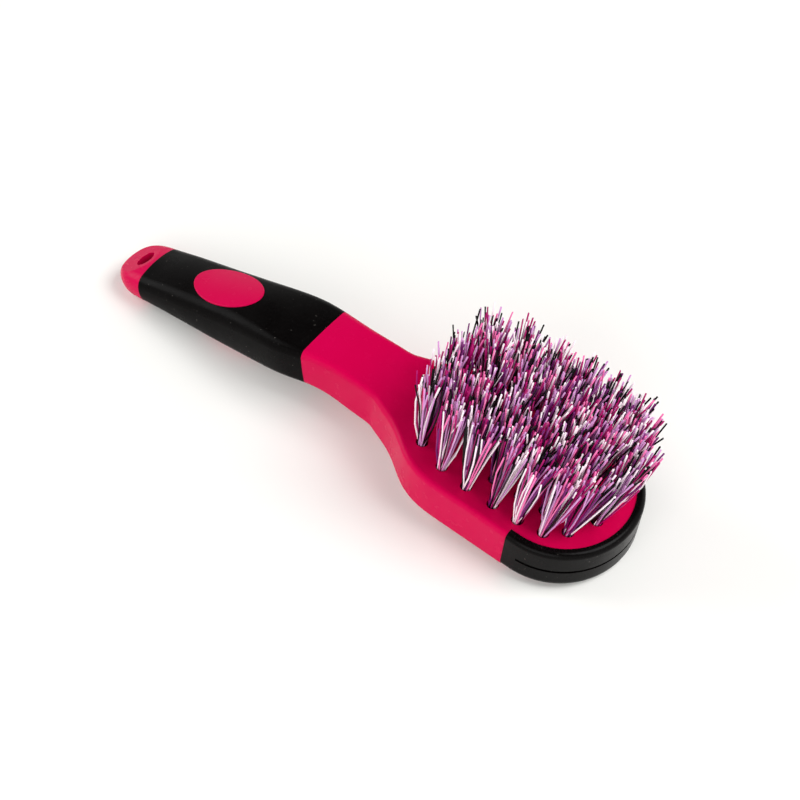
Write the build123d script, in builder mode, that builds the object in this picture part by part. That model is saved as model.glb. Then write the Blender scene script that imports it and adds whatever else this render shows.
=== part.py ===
"""Soft-grip hoof and bucket brush, in millimetres.

It lies as it rests on a table, bristles up: +X points to the nose, +Z is up, and the brush is
symmetric about the XZ plane. It is drawn from the nose backwards, where a "station" is the
distance from the nose tip towards the tail along the head. At the end every piece moves by the
same amount, so that the origin is at the middle of the bounding box's base.
"""

import math
import os

from build123d import *

# Head: a flat plate, pitched nose down because the handle bends back behind it.
head_pitch = 5.7
head_half_width = 33.2
head_half_thickness = 10.65
head_edge_radius = 2.2
nose_length = 31.5
side_end = 66.0
shoulder_points = ((80.0, 31.9), (88.0, 28.6), (96.0, 23.1), (104.0, 18.5), (112.0, 15.3))
neck_start = 122.0
neck_half_width = 13.8
neck_station = 124.0

# Nose bumper: a rubber band let into the moulding round the nose.
bumper_end = 35.5
bumper_wall = 3.3
bumper_proud = 0.4
bumper_top_radius = 2.5
bumper_base_radius = 4.3
groove_width = 1.3
groove_depth = 1.1
groove_start = 29.5
groove_level = 0.0

# Handle: sections across a bent centre line. Each is its place in X and Z, its slope in degrees,
# half width, half height, crown of top and bottom, bulge of the sides and corner radius.
handle_sections = (
    (-115.4, 22.12, 5.7, 13.8, 10.65, 0.05, 0.05, 2.2),
    (-121.4, 22.72, 5.7, 13.8, 10.65, 0.05, 0.05, 2.2),
    (-135.0, 24.20, 2.7, 13.9, 10.3, 0.3, 0.2, 2.7),
    (-148.5, 24.45, -4.6, 15.5, 10.0, 0.7, 0.4, 3.4),
    (-159.1, 23.05, -8.8, 16.9, 10.7, 1.2, 0.6, 4.6),
    (-171.0, 20.90, -10.8, 16.7, 11.8, 1.8, 0.9, 5.6),
    (-184.0, 18.45, -10.6, 15.9, 12.3, 2.3, 1.2, 6.4),
    (-198.5, 15.85, -9.6, 15.3, 11.8, 2.5, 1.4, 6.6),
    (-213.0, 13.60, -8.7, 14.9, 10.5, 2.3, 1.6, 6.4),
    (-228.0, 11.30, -9.6, 14.4, 9.2, 2.1, 1.7, 6.1),
    (-241.0, 8.85, -11.5, 13.9, 8.1, 2.0, 1.8, 5.7),
)
neck_section = 1
front_seam_section = 3
back_seam_section = 10

# Tail: the last section again and again, smaller towards a rounded end.
tail_length = 18.8
tail_width_power = 2.4
tail_height_power = 2.3
tail_turns = (25.0, 45.0, 62.0, 75.0, 84.0)

# Hanging slot, an oval hole through a sloping facet on top of the tail.
facet_start = 1.5
facet_slope = -27.0
facet_size = 60.0
slot_x = -249.0
slot_length = 9.4
slot_width = 5.8

# Grip sleeve: rubber moulded over the handle core between two seams, with two oval windows.
sleeve_wall = 2.4
core_corner = 1.2
pad_x = -198.6
pad_z = 15.8
pad_slope = -9.8
pad_half_length = 18.0
pad_half_width = 10.6
pad_gap = 0.1
pad_proud = 0.4
pad_edge_radius = 0.35

# Bristles: cross rows of tufts, each row its station and the distances of its tufts from the
# centre line. The rows alternate, so that a tuft stands behind each gap of the row before.
tuft_rows = (
    (12.4, (5.2,)),
    (18.2, (16.6,)),
    (25.4, (5.3, 23.0)),
    (30.8, (14.2,)),
    (36.3, (5.3, 24.7)),
    (42.0, (15.0,)),
    (47.8, (5.3, 24.9)),
    (54.1, (15.2,)),
    (60.5, (5.3, 24.9)),
    (66.9, (15.0,)),
    (73.3, (5.3, 23.6)),
    (79.5, (12.6,)),
    (86.2, (19.3,)),
    (88.8, (6.0,)),
)
tuft_height = 36.5
tuft_root_radius = 2.35
tuft_tip_radius = 4.8
hole_radius = 2.5
hole_depth = 13.0
hole_floor_gap = 0.3

# The tufts spread along the head, and all lean a little towards the nose.
lean_centre = 60.0
lean_along = 0.09
lean_forward = 2.0

# Staples: flat wire driven across each hole near its bottom, into the walls on both sides.
staple_length = 5.8
staple_thickness = 0.35
staple_height = 1.8
staple_lift = 1.2
staple_fit = 0.02
staple_wrap = 0.1

# Long enough to cut right through any part of the brush.
through = 60.0

pitch = math.radians(head_pitch)
head_plane = Plane(
    origin=(0, 0, head_half_thickness * math.cos(pitch)),
    x_dir=(-math.cos(pitch), 0, math.sin(pitch)),
    z_dir=(math.sin(pitch), 0, math.cos(pitch)),
)
tuft_face = head_plane.offset(head_half_thickness)
hole_floor = tuft_face.offset(-hole_depth)
staple_bottom = hole_floor.offset(staple_lift)


def cross_plane(x, z, slope):
    """The plane across the handle at a point of its centre line, facing the tail, y axis up."""
    angle = math.radians(slope)
    return Plane(origin=(x, 0, z), x_dir=(0, -1, 0), z_dir=(-math.cos(angle), 0, math.sin(angle)))


def top_plane(x, z, slope):
    """The plane along the handle at a point, facing up, x axis towards the nose."""
    angle = math.radians(slope)
    return Plane(
        origin=(x, 0, z),
        x_dir=(math.cos(angle), 0, -math.sin(angle)),
        z_dir=(math.sin(angle), 0, math.cos(angle)),
    )


def head_outline():
    """Plan of the head: an elliptical nose, straight sides and shoulders down to the neck."""
    with BuildSketch() as outline:
        with BuildLine():
            EllipticalCenterArc(
                (nose_length, 0), nose_length, head_half_width, start_angle=90, arc_size=90
            )
            Line((nose_length, head_half_width), (side_end, head_half_width))
            Spline(
                (side_end, head_half_width),
                *shoulder_points,
                (neck_start, neck_half_width),
                tangents=((1, 0), (1, 0)),
            )
            Line((neck_start, neck_half_width), (neck_station, neck_half_width))
            Line((neck_station, neck_half_width), (neck_station, 0))
            mirror(about=Plane.XZ)
        make_face()
    return outline.sketch


def nose_outline(inset, end):
    """Plan of the nose as far back as end, moved inwards by inset."""
    width = head_half_width - inset
    with BuildSketch() as outline:
        with BuildLine():
            EllipticalCenterArc(
                (nose_length, 0), nose_length - inset, width, start_angle=90, arc_size=90
            )
            Line((nose_length, width), (end, width))
            Line((end, width), (end, 0))
            mirror(about=Plane.XZ)
        make_face()
    return outline.sketch


def handle_section(plane, width, height, crown, bulge, corner):
    """A rounded rectangle with a crowned top and bottom and bulging sides."""
    side, top = width - bulge, height - crown
    with BuildSketch(plane) as section:
        with BuildLine():
            ThreePointArc((-side, -top), (0, -height), (side, -top))
            ThreePointArc((side, -top), (width, 0), (side, top))
            ThreePointArc((side, top), (0, height), (-side, top))
            ThreePointArc((-side, top), (-width, 0), (-side, -top))
        make_face()
        fillet(section.vertices(), radius=corner)
    return section.sketch


def handle_profiles(inset):
    """The handle's sections from the neck to the tail's end, all moved inwards by inset."""
    profiles = []
    for x, z, slope, width, height, crown, bulge, corner in handle_sections:
        width, height, corner = width - inset, height - inset, max(corner - inset, core_corner)
        profiles.append(handle_section(cross_plane(x, z, slope), width, height, crown, bulge, corner))
    for turn in tail_turns:
        along = math.sin(math.radians(turn))
        wide = (1 - along**tail_width_power) ** (1 / tail_width_power)
        high = (1 - along**tail_height_power) ** (1 / tail_height_power)
        small = min(wide, high)
        plane = cross_plane(x, z, slope).offset((tail_length - inset) * along)
        sizes = (width * wide, height * high, crown * small, bulge * small, corner * small)
        profiles.append(handle_section(plane, *sizes))
    return profiles


def tuft_places(row):
    """The stations and signed distances of one row's tufts."""
    station, distances = row
    return [(station, side * distance) for distance in distances for side in (-1, 1)]


def tuft_tip(station, across):
    """Where the axis of a tuft ends, above the head."""
    return station - lean_forward + lean_along * (station - lean_centre), across


def tuft_round(plane, place, radius):
    """A circle on a plane of the head, for one end of a stretch of tuft."""
    with BuildSketch(plane) as outline:
        with Locations(place):
            Circle(radius)
    return outline.sketch


# The head as a plain plate, its edges rounded, cut off where the handle takes over.
neck_plane = cross_plane(*handle_sections[neck_section][:3])
with BuildPart() as head_plate:
    with BuildSketch(head_plane.offset(-head_half_thickness)):
        add(head_outline())
    extrude(amount=2 * head_half_thickness)
    fillet(head_plate.edges().filter_by(GeomType.ELLIPSE), radius=head_edge_radius)
    split(bisect_by=neck_plane, keep=Keep.BOTTOM)

# The neck, handle and tail as one form.
with BuildPart() as handle_form:
    loft(handle_profiles(0))
    split(bisect_by=neck_plane, keep=Keep.TOP)

# The thinner core that the grip is moulded over. It starts inside the head.
with BuildPart() as handle_core:
    loft(handle_profiles(sleeve_wall))

# The stretch of the handle between the sleeve's two seams.
front_seam = cross_plane(*handle_sections[front_seam_section][:3])
back_seam = cross_plane(*handle_sections[back_seam_section][:3])
with BuildPart() as grip_zone:
    add(handle_form.part)
    split(bisect_by=front_seam, keep=Keep.TOP)
    split(bisect_by=back_seam, keep=Keep.BOTTOM)

# Oval pads: the moulding comes out through a window on the top and on the underside, a little
# proud of the rubber. Rounding the longest stretch of each rim rounds the whole rim.
pad_plane = top_plane(pad_x, pad_z, pad_slope)
with BuildPart() as pads:
    loft(handle_profiles(-pad_proud))
    with BuildSketch(pad_plane):
        Ellipse(pad_half_length, pad_half_width)
    extrude(amount=through, both=True, mode=Mode.INTERSECT)
    rims = pads.edges().filter_by(GeomType.BSPLINE).sort_by(SortBy.LENGTH)[-2:]
    fillet(rims, radius=pad_edge_radius)

with BuildPart() as grip_sleeve:
    add(grip_zone.part)
    add(handle_core.part, mode=Mode.SUBTRACT)
    with BuildSketch(pad_plane):
        Ellipse(pad_half_length + pad_gap, pad_half_width + pad_gap)
    extrude(amount=through, both=True, mode=Mode.SUBTRACT)

# The bumper: a band round the nose, standing a little proud, with a groove round its middle.
with BuildPart() as nose_bumper:
    with BuildSketch(head_plane.offset(-head_half_thickness - bumper_proud)):
        add(nose_outline(-bumper_proud, bumper_end))
    extrude(amount=2 * (head_half_thickness + bumper_proud))
    arcs = nose_bumper.edges().filter_by(GeomType.ELLIPSE).sort_by(Axis.Z)
    fillet(arcs[:2], radius=bumper_base_radius)
    fillet(arcs[2:], radius=bumper_top_radius)
    with BuildSketch(head_plane):
        add(nose_outline(bumper_wall, bumper_end))
    extrude(amount=through, both=True, mode=Mode.SUBTRACT)
    with BuildSketch(head_plane.offset(groove_level - groove_width / 2)):
        add(nose_outline(-bumper_wall, bumper_end))
        add(nose_outline(groove_depth - bumper_proud, bumper_end), mode=Mode.SUBTRACT)
        with Locations((groove_start + through / 2, 0)):
            Rectangle(through, 2 * through, mode=Mode.SUBTRACT)
    extrude(amount=groove_width, mode=Mode.SUBTRACT)

# The moulding: head, neck, core, pads and tail, with everything that is let into it.
back_half_height = handle_sections[back_seam_section][4]
facet_edge = back_seam.offset(facet_start).from_local_coords((0, back_half_height))
facet_plane = top_plane(facet_edge.X, facet_edge.Z, facet_slope)
with BuildPart() as brush_body:
    add(head_plate.part)
    add(handle_form.part)
    add(grip_zone.part, mode=Mode.SUBTRACT)
    add(handle_core.part)
    add(pads.part)

    with BuildSketch(head_plane):
        add(nose_outline(-bumper_wall, bumper_end))
        add(nose_outline(bumper_wall, bumper_end), mode=Mode.SUBTRACT)
    extrude(amount=through, both=True, mode=Mode.SUBTRACT)

    with BuildSketch(hole_floor):
        for row in tuft_rows:
            with Locations(*tuft_places(row)):
                Circle(hole_radius)
    extrude(amount=hole_depth, mode=Mode.SUBTRACT)

    with BuildSketch(staple_bottom.offset(-staple_fit)):
        for row in tuft_rows:
            with Locations(*tuft_places(row)):
                Rectangle(staple_thickness + 2 * staple_fit, staple_length + 2 * staple_fit)
    extrude(amount=staple_height + 2 * staple_fit, mode=Mode.SUBTRACT)

    with BuildSketch(facet_plane):
        with Locations((-facet_size / 2, 0)):
            Rectangle(facet_size, facet_size)
    extrude(amount=through, mode=Mode.SUBTRACT)

    with BuildSketch(Plane.XY):
        with Locations((slot_x, 0)):
            Ellipse(slot_width / 2, slot_length / 2)
    extrude(amount=through, both=True, mode=Mode.SUBTRACT)

pieces = {"brush_body": brush_body, "grip_sleeve": grip_sleeve, "nose_bumper": nose_bumper}

# One row at a time, the tufts and the staples that hold them.
for number, row in enumerate(tuft_rows, start=1):
    with BuildPart() as staples:
        with BuildSketch(staple_bottom):
            with Locations(*tuft_places(row)):
                Rectangle(staple_thickness, staple_length)
        extrude(amount=staple_height)

    with BuildPart() as tufts:
        for place in tuft_places(row):
            bottom = tuft_round(hole_floor.offset(hole_floor_gap), place, tuft_root_radius)
            root = tuft_round(tuft_face, place, tuft_root_radius)
            tip = tuft_round(tuft_face.offset(tuft_height), tuft_tip(*place), tuft_tip_radius)
            loft([bottom, root, tip], ruled=True)
        with BuildSketch(staple_bottom.offset(-staple_wrap)):
            with Locations(*tuft_places(row)):
                Rectangle(staple_thickness + 2 * staple_wrap, staple_length)
        extrude(amount=staple_height + 2 * staple_wrap, mode=Mode.SUBTRACT)

    pieces[f"tuft_row_{number:02d}"] = tufts
    pieces[f"anchor_row_{number:02d}"] = staples

# Put the origin at the middle of the whole brush's base, and write every piece.
boxes = [piece.part.bounding_box() for piece in pieces.values()]
low_x, high_x = min(box.min.X for box in boxes), max(box.max.X for box in boxes)
low_z = min(box.min.Z for box in boxes)
to_origin = Location((-(low_x + high_x) / 2, 0, -low_z))
os.makedirs("parts", exist_ok=True)
for name, piece in pieces.items():
    piece.part.label = name
    export_step(piece.part.moved(to_origin), f"parts/{name}.step")

print("every piece moved by", to_origin.position)
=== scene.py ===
"""The looks of the soft-grip hoof brush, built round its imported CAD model, in metres.

The CAD frame has +X towards the nose and +Z up, with the origin on the floor. The moulding, the grip
and the bumper are the CAD solids with new materials. The bristles are made here, one filament at a
time, in place of the plain cones that stand for the tufts.
"""

import math
import random

import bpy
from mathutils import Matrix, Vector


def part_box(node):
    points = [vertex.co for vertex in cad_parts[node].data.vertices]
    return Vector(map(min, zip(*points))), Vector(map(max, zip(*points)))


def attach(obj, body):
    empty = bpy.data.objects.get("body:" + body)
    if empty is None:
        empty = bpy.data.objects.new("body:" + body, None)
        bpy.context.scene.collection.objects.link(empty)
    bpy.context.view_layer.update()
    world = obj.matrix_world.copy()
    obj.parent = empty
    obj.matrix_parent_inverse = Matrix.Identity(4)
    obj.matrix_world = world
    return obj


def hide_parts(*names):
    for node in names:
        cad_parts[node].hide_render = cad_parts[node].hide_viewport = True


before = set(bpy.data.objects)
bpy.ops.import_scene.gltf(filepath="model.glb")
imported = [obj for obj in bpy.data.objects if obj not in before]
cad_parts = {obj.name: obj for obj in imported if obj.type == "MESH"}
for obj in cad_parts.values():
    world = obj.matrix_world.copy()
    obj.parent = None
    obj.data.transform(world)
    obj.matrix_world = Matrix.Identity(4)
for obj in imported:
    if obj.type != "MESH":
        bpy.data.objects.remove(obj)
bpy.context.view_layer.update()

MM = 0.001

# The head is pitched nose down, so its bristle face looks up and a little towards the nose.
HEAD_PITCH = math.radians(5.7)
TO_NOSE = Vector((math.cos(HEAD_PITCH), 0.0, -math.sin(HEAD_PITCH)))
ACROSS = Vector((0.0, 1.0, 0.0))
OUT_OF_HEAD = Vector((math.sin(HEAD_PITCH), 0.0, math.cos(HEAD_PITCH)))

# Tufts: each row stands where the CAD model has the staples that hold it.
ROWS = 14
ROWS_OF_FOUR = (3, 5, 7, 9, 11)
INNER_TUFT = 5.3 * MM
STAPLE_HALF_LENGTH = 2.9 * MM
STAPLE_DEPTH = 10.9 * MM
HOLE_RADIUS = 2.5 * MM

# Filaments.
FILAMENTS_PER_TUFT = 46
FILAMENT_RADIUS = 0.35 * MM
FILAMENT_SIDES = 6
BRISTLE_RISE = 36.5 * MM
FOOT_DEPTH = 9.6 * MM

# Filaments are pressed together where they leave the hole, and a little less so at its bottom.
MOUTH_CROWDING = 0.8
FOOT_SPREAD = 0.1

# The tufts spread along the head, and all lean a little to the nose and to the left, bent by use.
# Each fans out by itself.
LEAN_CENTRE = 60.0 * MM
LEAN_ALONG = 0.09
LEAN_FORWARD = 2.0 * MM
LEAN_LEFT = 3.5 * MM
FAN = 5.8 * MM

# How single filaments differ: where the tip strays to, how far they bow, where they are trimmed,
# how thick they are and how they turn in the hole. A few stray further than the rest.
TIP_STRAY = 1.1 * MM
WILD_CHANCE = 0.03
WILD_STRAY = 2.4
BOW = 0.9 * MM
BEND_SHARES = (0.3, 0.65, 1.0)
TRIM_SPREAD = 1.2 * MM
SHORT_MEAN = 0.5
SHORT_SPREAD = 1.2
SHORT_STEP = 1.5 * MM
SLANT_SPREAD = 0.25
THINNEST = 0.9
THICKEST = 1.1
TURN_SPREAD = 0.12
GOLDEN_ANGLE = math.pi * (3.0 - math.sqrt(5.0))
SEED_BEFORE_ROW_1 = 400

# Colours of the filaments, each with its share of the mix.
FILAMENT_COLOURS = (
    ("white", (0.92, 0.80, 0.86), 0.20),
    ("lilac", (0.62, 0.29, 0.59), 0.20),
    ("purple", (0.16, 0.015, 0.14), 0.11),
    ("rose", (0.84, 0.17, 0.42), 0.11),
    ("magenta", (0.36, 0.002, 0.12), 0.17),
    ("black", (0.002, 0.001, 0.002), 0.21),
)

# Floor and camera. The camera's target is measured from the nose tip, at floor level.
FLOOR_REACH = 3.0
CAMERA_AZIMUTH = math.radians(37.23)
CAMERA_ELEVATION = math.radians(50.01)
CAMERA_DISTANCE = 0.7968
CAMERA_TARGET = Vector((-0.10563, -0.0077, 0.0301))


# Materials ---------------------------------------------------------------------------------------


def new_material(name, colour, roughness, **sockets):
    """A Principled material and its shader node. Extra inputs come as socket names with _ for space."""
    material = bpy.data.materials.new(name)
    material.use_nodes = True
    shader = material.node_tree.nodes["Principled BSDF"]
    shader.inputs["Base Color"].default_value = (*colour, 1.0)
    shader.inputs["Roughness"].default_value = roughness
    for socket, value in sockets.items():
        shader.inputs[socket.replace("_", " ")].default_value = value
    return material, shader


def add_noise(material, scale, detail=3.0, roughness=0.55, stretch=(1.0, 1.0, 1.0)):
    """Noise in object space, in metres, so that the grain has its real size."""
    nodes, links = material.node_tree.nodes, material.node_tree.links
    place = nodes.new("ShaderNodeTexCoord")
    mapping = nodes.new("ShaderNodeMapping")
    mapping.inputs["Scale"].default_value = stretch
    noise = nodes.new("ShaderNodeTexNoise")
    noise.inputs["Scale"].default_value = scale
    noise.inputs["Detail"].default_value = detail
    noise.inputs["Roughness"].default_value = roughness
    links.new(place.outputs["Object"], mapping.inputs["Vector"])
    links.new(mapping.outputs["Vector"], noise.inputs["Vector"])
    return noise


def ramp(material, source, stops):
    """A colour ramp on a factor, in a material or world. The stops are (position, grey or colour)."""
    node = material.node_tree.nodes.new("ShaderNodeValToRGB")
    elements = node.color_ramp.elements
    while len(elements) < len(stops):
        elements.new(0.5)
    for element, (position, colour) in zip(elements, stops):
        element.position = position
        grey = isinstance(colour, float)
        element.color = (colour, colour, colour, 1.0) if grey else (*colour, 1.0)
    material.node_tree.links.new(source, node.inputs["Fac"])
    return node.outputs["Color"]


def add_bump(material, shader, heights):
    """A chain of bumps, each a height socket with its depth in metres."""
    nodes, links = material.node_tree.nodes, material.node_tree.links
    normal = None
    for height, depth in heights:
        bump = nodes.new("ShaderNodeBump")
        bump.inputs["Strength"].default_value = 1.0
        bump.inputs["Distance"].default_value = depth
        links.new(height, bump.inputs["Height"])
        if normal is not None:
            links.new(normal, bump.inputs["Normal"])
        normal = bump.outputs["Normal"]
    links.new(normal, shader.inputs["Normal"])


def pink_plastic():
    """Glossy injection-moulded plastic: slightly cloudy colour, faint ripples, fine handling marks."""
    material, shader = new_material("pink_moulding", (0.55, 0.0004, 0.060), 0.26, Specular_IOR_Level=0.055)
    links = material.node_tree.links
    cloud = add_noise(material, 45.0, detail=2.0)
    cloudy_pinks = ((0.3, (0.54, 0.0003, 0.057)), (0.7, (0.56, 0.0005, 0.063)))
    links.new(ramp(material, cloud.outputs["Fac"], cloudy_pinks), shader.inputs["Base Color"])
    wear = add_noise(material, 250.0, detail=3.0)
    gloss = ramp(material, wear.outputs["Fac"], ((0.35, 0.25), (0.7, 0.28)))
    links.new(gloss, shader.inputs["Roughness"])
    ripple = add_noise(material, 70.0, detail=1.0)
    grain = add_noise(material, 1800.0, detail=1.0)
    add_bump(material, shader, ((ripple.outputs["Fac"], 0.08 * MM), (grain.outputs["Fac"], 0.0004 * MM)))
    return material


def black_rubber(name, reflection, roughness, grain_depth):
    """Soft rubber: nearly black, a fine grain, and a little pale dust."""
    material, shader = new_material(name, (0.002, 0.0016, 0.0016), roughness, Specular_IOR_Level=reflection)
    links = material.node_tree.links
    dust = add_noise(material, 900.0, detail=2.0)
    black_to_dust = (
        (0.45, (0.0018, 0.0014, 0.0014)),
        (0.72, (0.003, 0.0025, 0.0025)),
        (0.78, (0.12, 0.11, 0.10)),
    )
    links.new(ramp(material, dust.outputs["Fac"], black_to_dust), shader.inputs["Base Color"])
    patch = add_noise(material, 90.0, detail=4.0)
    patchy_gloss = ((0.3, roughness - 0.06), (0.7, roughness + 0.08))
    links.new(ramp(material, patch.outputs["Fac"], patchy_gloss), shader.inputs["Roughness"])
    grain = add_noise(material, 2200.0, detail=3.0)
    swell = add_noise(material, 120.0, detail=1.0)
    add_bump(material, shader, ((swell.outputs["Fac"], 0.08 * MM), (grain.outputs["Fac"], grain_depth)))
    return material


def filament_plastic(name, colour):
    """Drawn plastic filament: one colour, with a fine variation of gloss along it."""
    material, shader = new_material(f"filament_{name}", colour, 0.35, Specular_IOR_Level=0.15)
    streak = add_noise(material, 600.0, detail=2.0, stretch=(1.0, 1.0, 0.2))
    gloss = ramp(material, streak.outputs["Fac"], ((0.3, 0.28), (0.7, 0.48)))
    material.node_tree.links.new(gloss, shader.inputs["Roughness"])
    add_bump(material, shader, ((streak.outputs["Fac"], 0.02 * MM),))
    return material


def staple_steel():
    """Flat galvanised wire."""
    material, shader = new_material("staple_wire", (0.62, 0.62, 0.60), 0.35, Metallic=1.0)
    drawn = add_noise(material, 1500.0, stretch=(1.0, 0.1, 1.0))
    gloss = ramp(material, drawn.outputs["Fac"], ((0.3, 0.28), (0.7, 0.5)))
    material.node_tree.links.new(gloss, shader.inputs["Roughness"])
    return material


def floor_paper():
    """The pale studio floor."""
    material, shader = new_material("floor_paper", (0.91, 0.905, 0.88), 0.85, Specular_IOR_Level=0.1)
    fibre = add_noise(material, 300.0, detail=4.0)
    add_bump(material, shader, ((fibre.outputs["Fac"], 0.02 * MM),))
    return material


def dress(node, material):
    """Gives a CAD node one material all over."""
    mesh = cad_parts[node].data
    mesh.materials.clear()
    mesh.materials.append(material)
    for polygon in mesh.polygons:
        polygon.material_index = 0


# Bristles ----------------------------------------------------------------------------------------


def new_mesh_object(name, vertices, faces):
    """A mesh object in the scene, made from its points and faces."""
    mesh = bpy.data.meshes.new(name)
    mesh.from_pydata(vertices, [], faces)
    piece = bpy.data.objects.new(name, mesh)
    bpy.context.scene.collection.objects.link(piece)
    return piece


def ring(centre, along, radius, cut=Vector((0.0, 0.0, 0.0))):
    """Points round a filament at one place. A cut tilts the ring, as on a trimmed end."""
    side = along.cross(ACROSS).normalized()
    other = along.cross(side).normalized()
    points = []
    for k in range(FILAMENT_SIDES):
        angle = 2.0 * math.pi * k / FILAMENT_SIDES
        offset = radius * (math.cos(angle) * side + math.sin(angle) * other)
        points.append(centre + offset + along * offset.dot(cut))
    return points


def add_filament(vertices, faces, path, radius, cut):
    """A closed tube along a path, with its far end cut at a slant. Returns its number of faces."""
    first = len(vertices)
    last = len(path) - 1
    for k, point in enumerate(path):
        along = (path[min(k + 1, last)] - path[max(k - 1, 0)]).normalized()
        if k < last:
            vertices.extend(ring(point, along, radius))
        else:
            vertices.extend(ring(point, along, radius, cut))
    for k in range(last):
        low = first + k * FILAMENT_SIDES
        for j in range(FILAMENT_SIDES):
            after = (j + 1) % FILAMENT_SIDES
            faces.append((low + j, low + after, low + FILAMENT_SIDES + after, low + FILAMENT_SIDES + j))
    top = first + last * FILAMENT_SIDES
    faces.append(tuple(first + j for j in reversed(range(FILAMENT_SIDES))))
    faces.append(tuple(top + j for j in range(FILAMENT_SIDES)))
    return last * FILAMENT_SIDES + 2


def filament_path(root, station, spot, draw):
    """From inside the hole, up through its mouth, and out to the tip in a slight curve."""
    # Where the tuft as a whole points, then this filament's own share of the fan.
    lean = TO_NOSE * (LEAN_FORWARD + LEAN_ALONG * (LEAN_CENTRE - station)) + ACROSS * LEAN_LEFT
    fan = FAN * spot.length / HOLE_RADIUS
    stray = draw.gauss(0.0, TIP_STRAY), draw.gauss(0.0, TIP_STRAY)
    if draw.random() < WILD_CHANCE:
        stray = stray[0] * WILD_STRAY, stray[1] * WILD_STRAY
    outward = spot.normalized() if spot.length > 0 else spot
    tip_offset = lean + fan * outward + TO_NOSE * stray[0] + ACROSS * stray[1]
    # Trimmed to one height with a small spread, and some end up shorter still.
    trim = draw.gauss(0.0, TRIM_SPREAD)
    rise = BRISTLE_RISE + trim + min(0.0, draw.gauss(SHORT_MEAN, SHORT_SPREAD)) * SHORT_STEP
    bow = (TO_NOSE * draw.gauss(0.0, BOW)) + (ACROSS * draw.gauss(0.0, BOW))
    start = root + spot * MOUTH_CROWDING
    path = [start + spot * FOOT_SPREAD - OUT_OF_HEAD * FOOT_DEPTH, start]
    for share in BEND_SHARES:
        bend = bow * math.sin(math.pi * share)
        path.append(start + OUT_OF_HEAD * (rise * share) + tip_offset * share + bend)
    return path


def pick_colour(draw):
    """The index of a colour, drawn by the shares of the mix."""
    value = draw.random()
    for index, (_, _, share) in enumerate(FILAMENT_COLOURS):
        value -= share
        if value < 0.0:
            return index
    return len(FILAMENT_COLOURS) - 1


def row_places(number):
    """The roots of one row's tufts on the bristle face."""
    low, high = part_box(f"anchor_row_{number:02d}")
    middle = (low + high) / 2.0
    outer = high.y - STAPLE_HALF_LENGTH
    distances = [outer]
    if number in ROWS_OF_FOUR:
        distances.append(INNER_TUFT)
    root = middle + OUT_OF_HEAD * STAPLE_DEPTH
    return [root + ACROSS * (side * distance) for distance in distances for side in (-1.0, 1.0)]


def tuft_spots(draw):
    """Evenly crowded places for the filaments in one hole."""
    turn = draw.random() * 2.0 * math.pi
    spots = []
    for k in range(FILAMENTS_PER_TUFT):
        reach = (HOLE_RADIUS - FILAMENT_RADIUS) * math.sqrt((k + 0.5) / FILAMENTS_PER_TUFT)
        angle = turn + k * GOLDEN_ANGLE + draw.gauss(0.0, TURN_SPREAD)
        spots.append(TO_NOSE * (reach * math.cos(angle)) + ACROSS * (reach * math.sin(angle)))
    return spots


def make_bristles(materials):
    """One piece for each row of tufts, in place of the row's plain cones."""
    nose_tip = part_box("nose_bumper")[1].x
    for number in range(1, ROWS + 1):
        draw = random.Random(SEED_BEFORE_ROW_1 + number)
        vertices, faces, colours = [], [], []
        for root in row_places(number):
            station = (nose_tip - root.x) / math.cos(HEAD_PITCH)
            for spot in tuft_spots(draw):
                path = filament_path(root, station, spot, draw)
                cut = (TO_NOSE * draw.gauss(0.0, SLANT_SPREAD)) + (ACROSS * draw.gauss(0.0, SLANT_SPREAD))
                radius = FILAMENT_RADIUS * draw.uniform(THINNEST, THICKEST)
                colours += [pick_colour(draw)] * add_filament(vertices, faces, path, radius, cut)
        piece = new_mesh_object(f"bristles_row_{number:02d}", vertices, faces)
        for material in materials:
            piece.data.materials.append(material)
        piece.data.polygons.foreach_set("material_index", colours)
        piece.data.polygons.foreach_set("use_smooth", [len(face) == 4 for face in faces])
        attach(piece, "root")
        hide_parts(f"tuft_row_{number:02d}")


# Floor, light and camera -------------------------------------------------------------------------


def make_floor():
    """A plain square floor, far larger than the brush."""
    reach = FLOOR_REACH
    corners = [(-reach, -reach, 0.0), (reach, -reach, 0.0), (reach, reach, 0.0), (-reach, reach, 0.0)]
    floor = new_mesh_object("studio_floor", corners, [(0, 1, 2, 3)])
    floor.data.materials.append(floor_paper())


def add_softbox(name, place, size, power):
    """A rectangular white light, aimed at the middle of the brush's base."""
    light = bpy.data.lights.new(name, "AREA")
    light.shape = "RECTANGLE"
    light.size, light.size_y = size
    light.energy = power
    lamp = bpy.data.objects.new(name, light)
    bpy.context.scene.collection.objects.link(lamp)
    lamp.location = place
    lamp.rotation_euler = (-Vector(place)).to_track_quat("-Z", "Y").to_euler()


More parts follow.
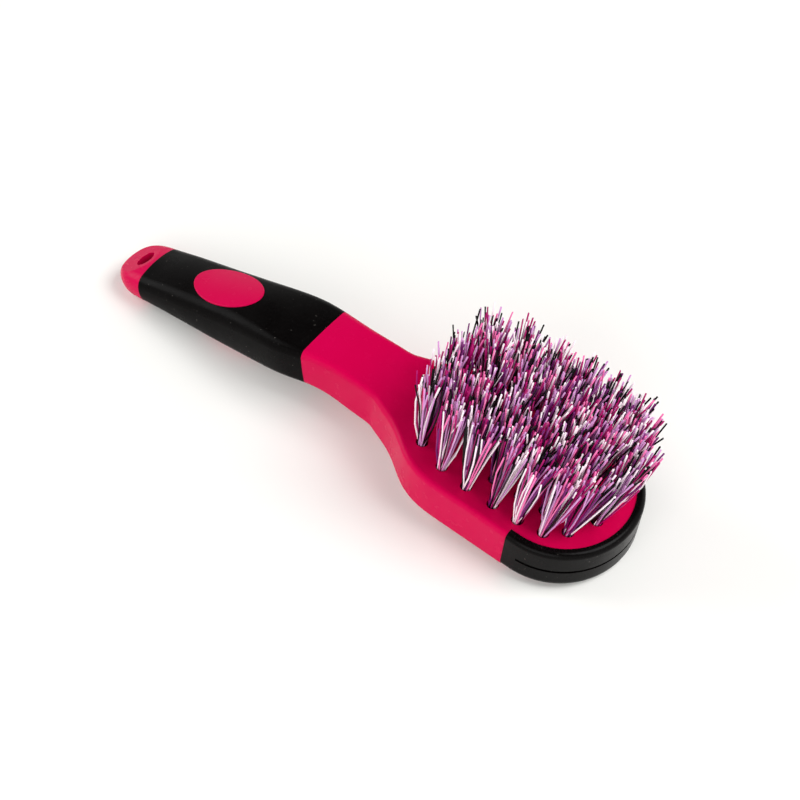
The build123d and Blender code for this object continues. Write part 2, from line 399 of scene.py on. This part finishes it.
def light_the_set():
    """A white sweep low down all round under a dark ceiling, and three softboxes.

    The key is high up past the nose, one stands off the tail, and one stands on the camera's side.
    """
    world = bpy.data.worlds.new("studio")
    world.use_nodes = True
    place = world.node_tree.nodes.new("ShaderNodeTexCoord")
    split = world.node_tree.nodes.new("ShaderNodeSeparateXYZ")
    world.node_tree.links.new(place.outputs["Generated"], split.inputs["Vector"])
    sweep = ramp(world, split.outputs["Z"], ((0.42, (1.0, 1.0, 0.985)), (0.62, (0.003, 0.003, 0.003))))
    background = world.node_tree.nodes["Background"]
    world.node_tree.links.new(sweep, background.inputs["Color"])
    background.inputs["Strength"].default_value = 1.15
    bpy.context.scene.world = world
    add_softbox("key_softbox", (0.85, 0.35, 1.25), (0.9, 0.9), 18.0)
    add_softbox("side_softbox", (-1.2, -0.4, 0.75), (0.8, 0.9), 10.0)
    add_softbox("front_softbox", (0.45, -1.2, 0.8), (1.2, 0.8), 8.0)


def place_camera():
    """A long lens, looking down at the brush from its right-hand side and a little ahead."""
    looks_at = Vector((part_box("nose_bumper")[1].x, 0.0, 0.0)) + CAMERA_TARGET
    level = Vector((-math.sin(CAMERA_AZIMUTH), math.cos(CAMERA_AZIMUTH), 0.0))
    forward = level * math.cos(CAMERA_ELEVATION) - Vector((0.0, 0.0, math.sin(CAMERA_ELEVATION)))
    camera = bpy.data.objects.new("camera", bpy.data.cameras.new("camera"))
    camera.data.sensor_width = 36.0
    camera.data.lens = 90.0
    camera.data.clip_end = 20.0
    camera.location = looks_at - forward * CAMERA_DISTANCE
    camera.rotation_euler = forward.to_track_quat("-Z", "Y").to_euler()
    bpy.context.scene.collection.objects.link(camera)
    bpy.context.scene.camera = camera


bpy.context.scene.view_settings.view_transform = "Standard"
dress("brush_body", pink_plastic())
dress("grip_sleeve", black_rubber("grip_rubber", 0.03, 0.30, 0.006 * MM))
dress("nose_bumper", black_rubber("bumper_rubber", 0.06, 0.24, 0.004 * MM))
staple_material = staple_steel()
for row_number in range(1, ROWS + 1):
    dress(f"anchor_row_{row_number:02d}", staple_material)
make_bristles([filament_plastic(name, colour) for name, colour, _ in FILAMENT_COLOURS])
make_floor()
light_the_set()
place_camera()
